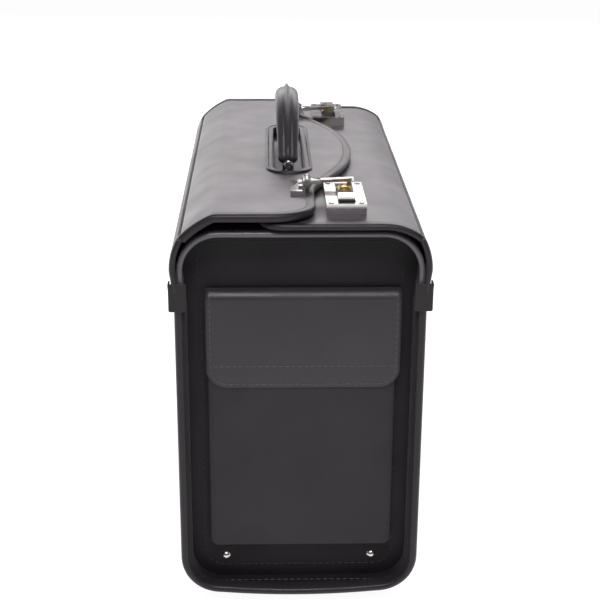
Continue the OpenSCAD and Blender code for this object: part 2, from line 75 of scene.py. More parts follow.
def make_camera():
    yaw, pitch, roll = CAMERA_YAW, CAMERA_PITCH, CAMERA_ROLL
    ahead = Vector((math.sin(yaw) * math.cos(pitch), math.cos(yaw) * math.cos(pitch), -math.sin(pitch)))
    side = Vector((math.cos(yaw), -math.sin(yaw), 0))
    up = side.cross(ahead)
    right = side * math.cos(roll) + up * math.sin(roll)
    above = up * math.cos(roll) - side * math.sin(roll)
    data = bpy.data.cameras.new("camera")
    data.lens = LENS_MM
    data.sensor_width = 36
    data.clip_end = 20
    camera = bpy.data.objects.new("camera", data)
    bpy.context.collection.objects.link(camera)
    turn = Matrix((right, above, -ahead)).transposed()
    camera.matrix_world = Matrix.Translation(CAMERA_AT) @ turn.to_4x4()
    bpy.context.scene.camera = camera


def area_light(name, at, toward, size, watts, colour=(1, 1, 1), shape_y=None):
    data = bpy.data.lights.new(name, "AREA")
    data.energy = watts
    data.color = colour
    data.shape = "RECTANGLE"
    data.size = size
    data.size_y = shape_y or size
    lamp = bpy.data.objects.new(name, data)
    bpy.context.collection.objects.link(lamp)
    lamp.location = at
    lamp.rotation_euler = (Vector(toward) - Vector(at)).to_track_quat("-Z", "Y").to_euler()
    return lamp


def make_stage():
    mesh = bpy.data.meshes.new("floor")
    r = FLOOR_HALF
    mesh.from_pydata([(-r, -r, 0), (r, -r, 0), (r, r, 0), (-r, r, 0)], [], [(0, 1, 2, 3)])
    floor = bpy.data.objects.new("floor", mesh)
    bpy.context.collection.objects.link(floor)
    mat = bpy.data.materials.new("floor_white")
    mat.use_nodes = True
    shader = mat.node_tree.nodes["Principled BSDF"]
    shader.inputs["Base Color"].default_value = (0.3, 0.3, 0.3, 1)
    shader.inputs["Roughness"].default_value = 0.9
    shader.inputs["Emission Color"].default_value = (1, 1, 1, 1)
    shader.inputs["Emission Strength"].default_value = FLOOR_GLOW
    mesh.materials.append(mat)
    world = bpy.data.worlds.new("studio")
    world.use_nodes = True
    tree = world.node_tree
    seen, dim, mix = tree.nodes["Background"], tree.nodes.new("ShaderNodeBackground"), \
        tree.nodes.new("ShaderNodeMixShader")
    seen.inputs["Color"].default_value = (1, 1, 1, 1)
    dim.inputs["Color"].default_value = (0.96, 0.95, 1, 1)
    dim.inputs["Strength"].default_value = AMBIENT
    tree.links.new(tree.nodes.new("ShaderNodeLightPath").outputs["Is Camera Ray"], mix.inputs["Fac"])
    tree.links.new(dim.outputs["Background"], mix.inputs[1])
    tree.links.new(seen.outputs["Background"], mix.inputs[2])
    tree.links.new(mix.outputs["Shader"], tree.nodes["World Output"].inputs["Surface"])
    bpy.context.scene.world = world
    bpy.context.scene.view_settings.view_transform = "Standard"
    area_light("back", (0.2, 2.5, 1.75), (0, 0.1, 0.3), 3.0, 54, WARM, 1.1)
    area_light("back_left", (-1.3, 2.4, 0.75), (-0.08, 0, 0.35), 1.4, 14, WARM)
    area_light("back_right", (1.5, 2.4, 0.8), (0.08, 0, 0.35), 1.2, 7, WARM)
    area_light("left", (-1.9, -0.5, 1.2), (0, -0.1, 0.25), 0.9, 2)
    area_light("right", (1.9, -0.8, 1.0), (0, -0.1, 0.2), 0.9, 2)
    area_light("front", (0.0, -1.5, 2.2), (0, -0.25, 0.33), 0.9, 42, (1, 0.97, 1))


# ---------------------------------------------------------------- materials

class Shader:
    """A small helper that adds nodes to one material and joins them up."""

    def __init__(self, name, rough, metallic=0.0, **constants):
        self.mat = bpy.data.materials.new(name)
        self.mat.use_nodes = True
        self.tree = self.mat.node_tree
        self.main = self.tree.nodes["Principled BSDF"]
        self.main.inputs["Roughness"].default_value = rough
        self.main.inputs["Metallic"].default_value = metallic
        for key, value in constants.items():
            self.main.inputs[key.replace("_", " ")].default_value = value
        self.coords = self.tree.nodes.new("ShaderNodeTexCoord").outputs["Object"]
        self.normal = None

    def add(self, kind, **values):
        node = self.tree.nodes.new(kind)
        for key, value in values.items():
            if key in node.inputs:
                node.inputs[key].default_value = value
            else:
                setattr(node, key, value)
        return node

    def join(self, out, into):
        self.tree.links.new(out, into)

    def noise(self, scale, detail=3.0, rough=0.55, stretch=None):
        node = self.add("ShaderNodeTexNoise", Scale=scale, Detail=detail, Roughness=rough)
        self.join(self.stretched(stretch), node.inputs["Vector"])
        return node.outputs["Fac"]

    def cells(self, scale, feature="DISTANCE_TO_EDGE", stretch=None):
        node = self.add("ShaderNodeTexVoronoi", feature=feature)
        node.inputs["Scale"].default_value = scale
        self.join(self.stretched(stretch), node.inputs["Vector"])
        return node.outputs["Distance"]

    def stretched(self, stretch):
        if stretch is None:
            return self.coords
        node = self.add("ShaderNodeMapping")
        node.inputs["Scale"].default_value = stretch
        self.join(self.coords, node.inputs["Vector"])
        return node.outputs["Vector"]

    def range(self, value, low, high, from_low=0.0, from_high=1.0):
        node = self.add("ShaderNodeMapRange")
        node.inputs["From Min"].default_value = from_low
        node.inputs["From Max"].default_value = from_high
        node.inputs["To Min"].default_value = low
        node.inputs["To Max"].default_value = high
        self.join(value, node.inputs["Value"])
        return node.outputs["Result"]

    def colour(self, value, dark, light, from_low=0.3, from_high=0.7):
        node = self.add("ShaderNodeMix", data_type="RGBA")
        self.join(self.range(value, 0, 1, from_low, from_high), node.inputs["Factor"])
        node.inputs["A"].default_value = (*dark, 1)
        node.inputs["B"].default_value = (*light, 1)
        self.join(node.outputs["Result"], self.main.inputs["Base Color"])

    def roughness(self, value, low, high, from_low=0.3, from_high=0.7):
        self.join(self.range(value, low, high, from_low, from_high), self.main.inputs["Roughness"])

    def bump(self, value, depth_mm, strength=1.0):
        node = self.add("ShaderNodeBump", Strength=strength)
        node.inputs["Distance"].default_value = depth_mm * MM
        self.join(value, node.inputs["Height"])
        if self.normal:
            self.join(self.normal, node.inputs["Normal"])
        self.normal = node.outputs["Normal"]
        self.join(self.normal, self.main.inputs["Normal"])


def leather(name, base, rough=0.46, grain=1.0, sheen=0.06, gloss=0.5):
    """Finely grained, smooth-coated leather: pebble cells, fine pores and slow waves."""
    s = Shader(name, rough, IOR=1.5, Sheen_Weight=sheen, Sheen_Roughness=0.5, Specular_IOR_Level=gloss)
    dark = tuple(c * 0.84 for c in base)
    light = tuple(c * 1.16 for c in base)
    s.colour(s.noise(9, 4), dark, light)
    s.roughness(s.noise(24, 3), rough - 0.05, rough + 0.06)
    s.bump(s.noise(14, 2), 0.16, 0.5)
    s.bump(s.range(s.cells(820), 0, 1, 0.0, 0.12), 0.05 * grain, 0.55)
    s.bump(s.noise(2600, 2), 0.03 * grain, 0.5)
    return s.mat


def metal(name, base, rough, brushed=0.0):
    s = Shader(name, rough, metallic=1.0)
    s.colour(s.noise(60, 2), tuple(c * 0.96 for c in base), base)
    s.roughness(s.noise(160, 3), rough * 0.9, rough * 1.15)
    if brushed:
        s.bump(s.noise(900, 2, stretch=(1, 1, 0.04)), 0.02 * brushed, 0.5)
    else:
        s.bump(s.noise(30, 1), 0.02, 0.15)
    return s.mat


def plastic(name, base, rough=0.5, grain=1.0):
    s = Shader(name, rough, IOR=1.46)
    s.colour(s.noise(30, 3), tuple(c * 0.85 for c in base), tuple(c * 1.15 for c in base))
    s.roughness(s.noise(80, 2), rough - 0.05, rough + 0.07)
    s.bump(s.noise(1500, 2), 0.05 * grain, 0.6)
    return s.mat


def cloth(name, base):
    s = Shader(name, 0.85, Sheen_Weight=0.25)
    s.colour(s.noise(40, 3), tuple(c * 0.8 for c in base), tuple(c * 1.25 for c in base))
    for stretch in ((1400, 90, 90), (90, 1400, 1400)):
        wave = s.add("ShaderNodeTexWave", Scale=1.0, Distortion=1.5)
        s.join(s.stretched(tuple(k * 0.4 for k in stretch)), wave.inputs["Vector"])
        s.bump(wave.outputs["Fac"], 0.06, 0.4)
    return s.mat


LEATHER = leather("leather", (0.034, 0.029, 0.034))
# The lid tops use a lighter copy of the case leather: painted light, standing for the overhead light
# falling on the tops.
TOP_LIT_LEATHER = leather("top_leather_painted_light", (0.046, 0.039, 0.046), rough=0.42, grain=0.7)
FLAP_LEATHER = leather("flap_leather", (0.025, 0.0205, 0.0255), rough=0.42, gloss=0.42)
# Darker copy of the case leather: painted shade of the pocket, which hangs under the flap on the shaded
# end.
POCKET_SHADED_LEATHER = leather("pocket_leather_painted_shade", (0.0150, 0.0120, 0.0150), rough=0.54, gloss=0.35)
# Much darker copy of the case leather: painted shade of the end panels, recessed under the rim and the lid
# overhang.
PANEL_SHADED_LEATHER = leather("panel_leather_painted_shade", (0.0075, 0.0055, 0.0075), rough=0.58, gloss=0.26)
BOUND = leather("bound_edge_leather", (0.014, 0.011, 0.0135), rough=0.40, grain=0.8, gloss=0.32)
# Lighter, glossier copy of the case leather: its lighter colour is a painted highlight on the arch piping.
PIPING_LIT_LEATHER = leather("piping_leather_painted_highlight", (0.075, 0.068, 0.076), rough=0.36, grain=1.6, gloss=0.7)
TAB_LEATHER = leather("tab_leather", (0.017, 0.0145, 0.014), rough=0.6, sheen=0.0, gloss=0.3)
GRIP_LEATHER = leather("grip_leather", (0.030, 0.027, 0.031), rough=0.42, grain=0.6)
# The hinge strip is real leather, darkened here to near black as painted shade of the sunk seam gap.
SEAM_PAINTED_SHADE = leather("seam_leather", (0.008, 0.007, 0.008), rough=0.7, sheen=0.0)
LINING = cloth("lining_cloth", (0.018, 0.018, 0.022))
BOARD = plastic("fibre_board", (0.16, 0.12, 0.08), rough=0.9)
CHROME = metal("polished_chrome", (0.70, 0.685, 0.665), 0.16)
BRASS = metal("dial_brass", (0.92, 0.70, 0.33), 0.22)
ALUMINIUM = metal("satin_aluminium", (0.50, 0.51, 0.53), 0.34, brushed=0.25)
BLACK_PLASTIC = plastic("black_plastic", (0.018, 0.018, 0.020))
HUB_PLASTIC = plastic("hub_plastic", (0.09, 0.09, 0.10), rough=0.4)
RUBBER = plastic("rubber", (0.014, 0.014, 0.014), rough=0.75, grain=1.5)
THREAD = plastic("thread", (0.020, 0.018, 0.020), rough=0.6)
THREAD_LIGHT = plastic("light_thread", (0.075, 0.07, 0.075), rough=0.6)


def paint(material, *nodes):
    for node in nodes:
        data = NODES[node].data
        data.materials.clear()
        data.materials.append(material)


def soften(width_mm, *nodes, segments=2, angle=35):
    """Rounds the sharp edges of carried-over CAD nodes."""
    for node in nodes:
        obj = NODES[node]
        bevel = obj.modifiers.new("soft_edges", "BEVEL")
        bevel.width = width_mm * MM
        bevel.segments = segments
        bevel.limit_method = "ANGLE"
        bevel.angle_limit = math.radians(angle)
        bevel.harden_normals = False


def paint_frame():
    paint(LEATHER, "side_wrap")
    paint(PANEL_SHADED_LEATHER, "near_end_panel", "far_end_panel")
    paint(PIPING_LIT_LEATHER, "near_arch_piping", "far_arch_piping")
    paint(LINING, "lining", "divider")
    paint(BOARD, "base_board")
    paint(CHROME, "pocket_magnet", "flap_magnet", "end_rivets", "wheel_axles", "trolley_screws",
          "near_hasp_plate", "far_hasp_plate", "hasp_pins", "handle_posts", "near_lock_case",
          "far_lock_case", "lock_screws", "near_hasp", "far_hasp", "near_slider", "far_slider",
          "handle_shackles")
    paint(ALUMINIUM, "trolley_outer_tubes", "trolley_mid_tubes", "trolley_inner_tubes",
          "trolley_button")
    paint(BLACK_PLASTIC, "wheel_housings", "trolley_top_bracket", "trolley_base_bracket",
          "trolley_grip")
    paint(HUB_PLASTIC, "left_wheel_hub", "right_wheel_hub")
    paint(RUBBER, "feet", "left_tyre", "right_tyre")
    for end in ("near", "far"):
        for i in (1, 2, 3):
            paint(BRASS, f"{end}_dial_{i}")


# ---------------------------------------------------------------- mesh helpers

def smooth(obj, angle=35):
    """Smooth shading that keeps edges sharper than the angle."""
    data = obj.data
    data.polygons.foreach_set("use_smooth", [True] * len(data.polygons))
    data.set_sharp_from_angle(angle=math.radians(angle))


def make_piece(name, verts, faces, material, body=None, replaces=(), slot="leather", angle=40):
    mesh = bpy.data.meshes.new(name)
    mesh.from_pydata([tuple(v) for v in verts], [], faces)
    mesh.validate()
    mesh.materials.append(material)
    obj = bpy.data.objects.new(name, mesh)
    bpy.context.collection.objects.link(obj)
    bpy.context.view_layer.objects.active = obj
    fix_normals(obj)
    smooth(obj, angle)
    if body:
        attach(obj, body)
    if replaces:
        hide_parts(*replaces)
    return obj


def fix_normals(obj):
    bm = bmesh.new()
    bm.from_mesh(obj.data)
    bmesh.ops.remove_doubles(bm, verts=bm.verts, dist=1e-7)
    bmesh.ops.recalc_face_normals(bm, faces=bm.faces)
    bm.to_mesh(obj.data)
    bm.free()


def arc(cx, cy, r, a0, a1, n):
    """Points on an arc, angles in degrees."""
    angles = np.radians(np.linspace(a0, a1, n + 1))
    return np.stack([cx + r * np.cos(angles), cy + r * np.sin(angles)], 1)


def resample(points, step, closed=False):
    """The same line with points about step apart."""
    p = np.asarray(points, float)
    if closed:
        p = np.vstack([p, p[:1]])
    keep = np.r_[True, np.linalg.norm(np.diff(p, axis=0), axis=1) > 1e-9]
    p = p[keep]
    along = np.r_[0, np.cumsum(np.linalg.norm(np.diff(p, axis=0), axis=1))]
    count = max(2, int(round(along[-1] / step)) + 1)
    at = np.linspace(0, along[-1], count)
    out = np.stack([np.interp(at, along, p[:, k]) for k in range(p.shape[1])], 1)
    return out[:-1] if closed else out


def inward_normals(outline, closed):
    """Unit normals to the left of a 2-D line's direction of travel."""
    p = np.asarray(outline, float)
    if closed:
        t = np.roll(p, -1, 0) - np.roll(p, 1, 0)
    else:
        t = np.gradient(p, axis=0)
    t /= np.linalg.norm(t, axis=1)[:, None]
    return np.stack([-t[:, 1], t[:, 0]], 1)


def edge_sweep(name, outline, section, place, material, closed=False, **kw):
    """Carries a closed section round an outline. A section point is (inset, depth): how far inside the
    outline it is, and how far below the surface that place(u, v, depth) describes."""
    p = np.asarray(outline, float)
    n = inward_normals(p, closed)
    rings = []
    for q, m in zip(p, n):
        rings.append([place(q[0] + m[0] * s, q[1] + m[1] * s, d) for s, d in section])
    count, size = len(rings), len(section)
    verts = [v for ring in rings for v in ring]
    faces = []
    for i in range(count if closed else count - 1):
        j = (i + 1) % count
        for k in range(size):
            m = (k + 1) % size
            faces.append((i * size + k, i * size + m, j * size + m, j * size + k))
    if not closed:
        faces.append(tuple(range(size)))
        faces.append(tuple((count - 1) * size + k for k in range(size)))
    return make_piece(name, verts, faces, material, **kw)


def tube_faces(start, rings, size):
    """Faces of a capped tube whose rings of vertices begin at index start."""
    faces = [tuple(start + k for k in range(size)),
             tuple(start + (rings - 1) * size + k for k in range(size))]
    for i in range(rings - 1):
        for k in range(size):
            m = (k + 1) % size
            faces.append((start + i * size + k, start + i * size + m,
                          start + (i + 1) * size + m, start + (i + 1) * size + k))
    return faces


def distance_to_line(points, line, closed):
    """Shortest distance from each 2-D point to a polyline."""
    a = np.asarray(line, float)
    b = np.roll(a, -1, 0) if closed else a[1:]
    a = a if closed else a[:-1]
    best = np.full(len(points), 1e9)
    for p0, p1 in zip(a, b):
        d = p1 - p0
        length = d @ d
        if length < 1e-16:
            continue
        t = np.clip(((points - p0) @ d) / length, 0, 1)
        best = np.minimum(best, np.linalg.norm(points - (p0 + t[:, None] * d), axis=1))
    return best


def skin(name, rows, span, outline, place, thick, material, edge=None, crown=0.0, reach=0.02,
         across=40, holes=(), closed=True, **kw):
    """A sheet with rounded edges. rows are u values, span(u) is the sheet's (v0, v1) there, outline is
    its edge in (u, v), and crown lifts the middle, over the distance reach from the edge."""
    edge = edge or thick / 2
    u = np.repeat(rows, across + 1)
    t = (1 - np.cos(np.linspace(0, math.pi, across + 1))) / 2
    t = 0.35 * t + 0.65 * np.linspace(0, 1, across + 1)
    v = np.concatenate([span(r)[0] + (span(r)[1] - span(r)[0]) * t for r in rows])
    dist = distance_to_line(np.stack([u, v], 1), outline, closed)
    near = np.clip(1 - dist / edge, 0, 1)
    drop = edge * (1 - np.sqrt(np.clip(1 - near ** 2, 0, 1))) * min(1, thick / 2 / edge)
    far = np.clip(dist / reach, 0, 1)
    lift = crown * (far * far * (3 - 2 * far))
    top = [place(a, b, d) for a, b, d in zip(u, v, drop - lift)]
    under = [place(a, b, d) for a, b, d in zip(u, v, thick - drop - lift * 0.5)]
    n, w, half = len(rows), across + 1, len(u)
    faces = []

    def open_here(i, k):
        cu, cv = (u[i * w + k] + u[(i + 1) * w + k + 1]) / 2, (v[i * w + k] + v[i * w + k + 1]) / 2
        return any(hole(cu, cv) for hole in holes)
    gone = set()
    for i in range(n - 1):
        for k in range(w - 1):
            if open_here(i, k):
                gone.add((i, k))
                continue
            a, b, c, d = i * w + k, i * w + k + 1, (i + 1) * w + k + 1, (i + 1) * w + k
            faces.append((a, b, c, d))
            faces.append((a + half, d + half, c + half, b + half))
    for (i, k) in gone:
        for (di, dk, a, b) in ((-1, 0, (i, k), (i, k + 1)), (1, 0, (i + 1, k), (i + 1, k + 1)),
                               (0, -1, (i, k), (i + 1, k)), (0, 1, (i, k + 1), (i + 1, k + 1))):
            if (i + di, k + dk) not in gone:
                p, q = a[0] * w + a[1], b[0] * w + b[1]
                faces.append((p, q, q + half, p + half))
    rim = [i * w for i in range(n)], [i * w + w - 1 for i in range(n)]
    for line in rim:
        faces += [(p, q, q + half, p + half) for p, q in zip(line[:-1], line[1:])]
    for line in ([k for k in range(w)], [(n - 1) * w + k for k in range(w)]):
        faces += [(p, q, q + half, p + half) for p, q in zip(line[:-1], line[1:])]
    return make_piece(name, top + under, faces, material, **kw)


def stitches(name, path, normals, pitch, length, width, material, body, slot="leather", sink=0.25):
    """A row of thread stitches along a 3-D path; each one is a small rounded bead sunk in the leather."""
    p = resample(path, pitch)
    if len(p) < 2:
        return None
    src = np.asarray(path, float)
    idx = [int(np.argmin(np.linalg.norm(src - q, axis=1))) for q in p]
    verts, faces = [], []
    sides, rings = 6, (-1.0, -0.82, 0.0, 0.82, 1.0)
    size = (0.15, 0.8, 1.0, 0.8, 0.15)
    for k in range(len(p) - 1):
        mid = (p[k] + p[k + 1]) / 2
        along = p[k + 1] - p[k]
        along /= np.linalg.norm(along)
        n = np.asarray(normals[idx[k]], float) if np.ndim(normals) == 2 else np.asarray(normals, float)
        n = n - along * (n @ along)
        n /= np.linalg.norm(n)
        side = np.cross(along, n)
        base = len(verts)
        for r, s in zip(rings, size):
            arch = (1 - r * r) * width * 0.35
            centre = mid + along * (r * length / 2) + n * (arch - width * sink)
            for j in range(sides):
                a = 2 * math.pi * j / sides
                verts.append(centre + (side * math.cos(a) + n * math.sin(a) * 0.8) * width / 2 * s)
        for i in range(len(rings) - 1):
            for j in range(sides):
                m = (j + 1) % sides
                faces.append((base + i * sides + j, base + i * sides + m,
                              base + (i + 1) * sides + m, base + (i + 1) * sides + j))
        faces.append(tuple(base + j for j in range(sides)))
        faces.append(tuple(base + (len(rings) - 1) * sides + j for j in range(sides)))
    return make_piece(name, verts, faces, material, body=body, slot=slot)


# ---------------------------------------------------------------- the case's own dimensions

CASE_Y = (lo("near_rim_binding").y + hi("far_rim_binding").y) / 2
LIFT = lo("near_rim_binding").z
END_Y = hi("far_rim_binding").y - CASE_Y
HALF_W = 105 * MM
FOOT_R = 36 * MM
LEAN_Z = LIFT + 280 * MM
CORNER_X = 52 * MM
CORNER_Z = LIFT + 315.5 * MM
CORNER_R = 58 * MM
SEAM_A = math.radians(30.7)
PANEL_Y = END_Y - 25 * MM
LID_Y = hi("outer_lid_binding").y - CASE_Y
LID_TOP = hi("outer_lid_binding").z
INNER_TOP = LIFT + 357 * MM
TONGUE_X = hi("outer_lid_binding").x
HINGE_X = CORNER_X + CORNER_R * math.cos(SEAM_A)
HINGE_Z = CORNER_Z + CORNER_R * math.sin(SEAM_A)
HINGE_GAP = 1.66 * MM
SLOPE_R = 88 * MM
SLOPE_A = math.radians(47)
SLOPE_X = -HINGE_X + SLOPE_R * math.sin(SLOPE_A)
SLOPE_Z = HINGE_Z - SLOPE_R * math.cos(SLOPE_A)
FOLD_R = 12 * MM
FOLD_A = math.acos((LID_TOP - FOLD_R - SLOPE_Z) / (SLOPE_R - FOLD_R))
FOLD_X = SLOPE_X - (SLOPE_R - FOLD_R) * math.sin(FOLD_A)
SLOPE_RUN = SLOPE_R * (SLOPE_A - FOLD_A)
FOLD_ARC = FOLD_R * FOLD_A
SHOULDER_R = 50 * MM
SHOULDER_Z = INNER_TOP - SHOULDER_R
SHOULDER_A = math.asin((HINGE_Z - SHOULDER_Z) / SHOULDER_R)
SHOULDER_X = HINGE_X - SHOULDER_R * math.cos(SHOULDER_A)
SHOULDER_ARC = SHOULDER_R * (math.pi / 2 - SHOULDER_A)
HW_Y = (lo("near_lock_case").y + hi("far_lock_case").y) / 2
SLOT_X = (lo("slot_trim").x + hi("slot_trim").x) / 2


def outer_place(u, y, d):
    """A point on the outer lid: u along its section from the seam, y along the case, d below its face."""
    if u < SLOPE_RUN:
        a = math.pi / 2 + SLOPE_A - u / SLOPE_R
        return (SLOPE_X + (SLOPE_R - d) * math.cos(a), CASE_Y + y,
                SLOPE_Z + (SLOPE_R - d) * math.sin(a))
    if u < SLOPE_RUN + FOLD_ARC:
        a = math.pi / 2 + FOLD_A - (u - SLOPE_RUN) / FOLD_R
        return (FOLD_X + (FOLD_R - d) * math.cos(a), CASE_Y + y,
                LID_TOP - FOLD_R + (FOLD_R - d) * math.sin(a))
    return (FOLD_X + u - SLOPE_RUN - FOLD_ARC, CASE_Y + y, LID_TOP - d)


def outer_u(x):
    return x - FOLD_X + SLOPE_RUN + FOLD_ARC


def inner_place(u, y, d):
    """A point on the inner lid: u along its section from the seam."""
    if u < SHOULDER_ARC:
        a = SHOULDER_A + u / SHOULDER_R
        return (SHOULDER_X + (SHOULDER_R - d) * math.cos(a), CASE_Y + y,
                SHOULDER_Z + (SHOULDER_R - d) * math.sin(a))
    return (SHOULDER_X - (u - SHOULDER_ARC), CASE_Y + y, INNER_TOP - d)


LEAN = math.hypot(CORNER_X + CORNER_R - HALF_W, CORNER_Z - LEAN_Z)


def wall_place(side):
    """Places a point on the side wall above the tabs: u up from the foot of the lean."""
    def place(u, y, d):
        slope = ((CORNER_X + CORNER_R - HALF_W) / LEAN, (CORNER_Z - LEAN_Z) / LEAN)
        if u < LEAN:
            x, z = HALF_W + slope[0] * u - slope[1] * d, LEAN_Z + slope[1] * u + slope[0] * d
        else:
            a = (u - LEAN) / CORNER_R
            x = CORNER_X + (CORNER_R - d) * math.cos(a)
            z = CORNER_Z + (CORNER_R - d) * math.sin(a)
        return (side * x, CASE_Y + y, z)
    return place


# ---------------------------------------------------------------- lids

def outer_outline(inset):
    """The outer lid's edge in (u, y), from the seam at the near end round to the seam at the far end."""
    edge_x, corner, notch = 13 * MM, 35 * MM, 30 * MM
    bend = 24
    a = math.radians(bend)
    sweep = 260 * MM
    start = np.array([TONGUE_X - sweep * (1 - math.cos(a)), -sweep * math.sin(a)])
    notch_end_x = edge_x + notch * (1 - math.cos(a))
    notch_y = start[1] - (start[0] - notch_end_x) / math.tan(a) - notch * math.sin(a)
    half = np.vstack([
        arc(edge_x - corner, -LID_Y + corner, corner - inset, -90, 0, 20),
        arc(edge_x + notch, notch_y, notch + inset, 180, 180 - bend, 8),
        arc(TONGUE_X - sweep, 0, sweep - inset, -bend, 0, 24)])
    half[:, 0] = [outer_u(x) for x in half[:, 0]]
    half = np.vstack([[[HINGE_GAP, -LID_Y + inset]], half])
    far = half[::-1] * [1, -1]
    return np.vstack([half, far[1:]])


def inner_outline(inset):
    """The inner lid's edge in (u, y), from the seam at the far end round to the near end."""
    end = SHOULDER_ARC + SHOULDER_X + 35 * MM
    corner = 20 * MM
    near = np.vstack([[[HINGE_GAP, -LID_Y + inset]],
                      arc(end - corner, -LID_Y + corner, corner - inset, -90, 0, 12)])
    return np.vstack([near, near[::-1] * [1, -1]])


def span_of(outline):
    """The outline's y range at a given u, for an outline that is the same on both sides."""
    half = outline[: len(outline) // 2 + 1]

    def span(u):
        reach = 0.0
        for (u0, y0), (u1, y1) in zip(half[:-1], half[1:]):
            if min(u0, u1) - 1e-9 <= u <= max(u0, u1) + 1e-9:
                t = 0.5 if abs(u1 - u0) < 1e-9 else (u - u0) / (u1 - u0)
                reach = max(reach, -(y0 + (y1 - y0) * t))
        return (-reach, reach)
    return span


def bead(width, thick, proud):
    """A bound edge's section: a rounded outer edge, a low crown and a groove where it meets the panel."""
    points = [(width + 0.9, 1.2), (width + 0.2, 0.9), (width - 0.5, 0.1), (width * 0.8, -proud * 0.7),
              (width * 0.55, -proud), (width * 0.32, -proud * 0.7), (width * 0.14, 0.35),
              (0.35, 1.35), (0.0, 2.6), (0.1, thick - 2.2), (0.9, thick - 0.7), (2.2, thick),
              (width, thick), (width + 0.9, thick - 0.6)]
    return [(s * MM, d * MM) for s, d in points]


SLOT_HALF_W = 13.5 * MM
SLOT_HALF_L = 78.5 * MM
SLOT_TRIM = 8.1 * MM


def in_slot(margin):
    half_w, half_l = SLOT_HALF_W + margin, SLOT_HALF_L

    def inside(u, y):
        x = u - outer_u(SLOT_X)
        y = y + CASE_Y - HW_Y
        return math.hypot(x, max(0.0, abs(y) - half_l)) < half_w
    return inside


# In millimetres: the width of the lids' bound edges and the thickness of each
LID_BORDER = 8
OUTER_EDGE_T = 6.8
INNER_EDGE_T = 5.2
EDGE_PROUD = 0.35
# In metres: how far the panels lie below the bound edges, their own rounding and their crown's reach
PANEL_SINK = 0.45 * MM
PANEL_ROUND = 0.8 * MM
CROWN_REACH = 25 * MM


def make_lids():
    border = LID_BORDER * MM
    line = resample(outer_outline(0), 4 * MM)
    edge_sweep("outer_lid_edge", line, bead(LID_BORDER, OUTER_EDGE_T, EDGE_PROUD), outer_place, BOUND,
               body="outer_lid", replaces=("outer_lid_binding",), slot="leather_trim")
    inset = outer_outline(border - 0.5 * MM)
    rows = np.unique(np.round(np.concatenate([
        np.linspace(HINGE_GAP, SLOPE_RUN, 14), np.linspace(SLOPE_RUN, SLOPE_RUN + FOLD_ARC, 9),
        np.arange(SLOPE_RUN + FOLD_ARC, inset[:, 0].max(), 2.5 * MM),
        [inset[:, 0].max() - 0.05 * MM]]), 6))
    # The lid tops' skins take the lightened leather, which carries painted light.
    skin("outer_lid_leather", rows, span_of(inset), inset, outer_place_at(PANEL_SINK), 5 * MM,
         TOP_LIT_LEATHER, edge=PANEL_ROUND, crown=0.35 * MM, reach=CROWN_REACH, across=150,
         holes=(in_slot(4 * MM),), body="outer_lid", replaces=("outer_lid_panel",))
    line = resample(inner_outline(0), 4 * MM)
    edge_sweep("inner_lid_edge", line, bead(LID_BORDER, INNER_EDGE_T, EDGE_PROUD), inner_place, BOUND,
               body="inner_lid", replaces=("inner_lid_binding",), slot="leather_trim")
    inset = inner_outline(border - 0.5 * MM)
    rows = np.unique(np.round(np.concatenate([
        np.linspace(HINGE_GAP, SHOULDER_ARC, 20),
        np.arange(SHOULDER_ARC, inset[:, 0].max(), 3 * MM), [inset[:, 0].max() - 0.05 * MM]]), 6))
    skin("inner_lid_leather", rows, span_of(inset), inset, inner_place_at(PANEL_SINK), 4 * MM,
         TOP_LIT_LEATHER, edge=PANEL_ROUND, crown=0.3 * MM, reach=CROWN_REACH, across=90, body="inner_lid",
         replaces=("inner_lid_panel",))
    make_slot_trim()


def outer_place_at(sink):
    return lambda u, y, d: outer_place(u, y, d + sink)


def inner_place_at(sink):
    return lambda u, y, d: inner_place(u, y, d + sink)


def make_slot_trim():
    half_l, r = SLOT_HALF_L, SLOT_HALF_W + SLOT_TRIM
    outline = resample(np.vstack([arc(0, half_l, r, 0, 180, 24), arc(0, -half_l, r, 180, 360, 24)]),
                       2.5 * MM, closed=True)
    points = [(-0.1, 0.6), (0.2, -1.1), (1.0, -2.0), (2.1, -2.2), (3.0, -1.8), (3.45, -1.35),
              (3.9, -1.5), (5.0, -1.75), (6.8, -1.75), (7.7, -1.45), (8.1, -0.7), (8.1, 6.0),
              (6.6, 6.0), (6.6, 0.6)]
    section = [(s * MM, d * MM) for s, d in points]
    edge_sweep("slot_edge_trim", outline, section,
               lambda x, y, d: (SLOT_X + x, HW_Y + y, LID_TOP - d), BOUND, closed=True,
               body="outer_lid", replaces=("slot_trim",))


# ---------------------------------------------------------------- rims

RIM_CORNER_R = 34 * MM
RIM_SAG = 3.4 * MM
RIM_BULGE = 2.0 * MM
# Width in millimetres of the wall's own bound edge, above the tabs
WALL_EDGE = 12.4


def rim_outline():
    """The rim's outline in (x, z) from the left tab down and round to the right one. Its bottom hangs a
    little lower in the middle."""
    top_z = LEAN_Z + 11 * MM
    lean = (CORNER_X + CORNER_R - HALF_W) / (CORNER_Z - LEAN_Z)
    x1 = HALF_W - RIM_CORNER_R
    base = LIFT + RIM_BULGE
    slope = math.degrees(math.atan(2 * RIM_SAG / x1))
    right = np.vstack([
        [[x1 * t, base + RIM_SAG * t * t] for t in np.linspace(0, 0.95, 12)],
        arc(x1, base + RIM_SAG + RIM_CORNER_R, RIM_CORNER_R, -90 + slope, 0, 14),
        [[HALF_W, LEAN_Z], [HALF_W + lean * (top_z - LEAN_Z), top_z]]])
    left = right[::-1] * [-1, 1]
    return np.vstack([left, right[1:]])


def end_place(end, y0):
    """Places (x, z, depth) on an end of the case: depth runs from y0 towards the middle."""
    return lambda x, z, d: (x, CASE_Y + end * (y0 - d), z)


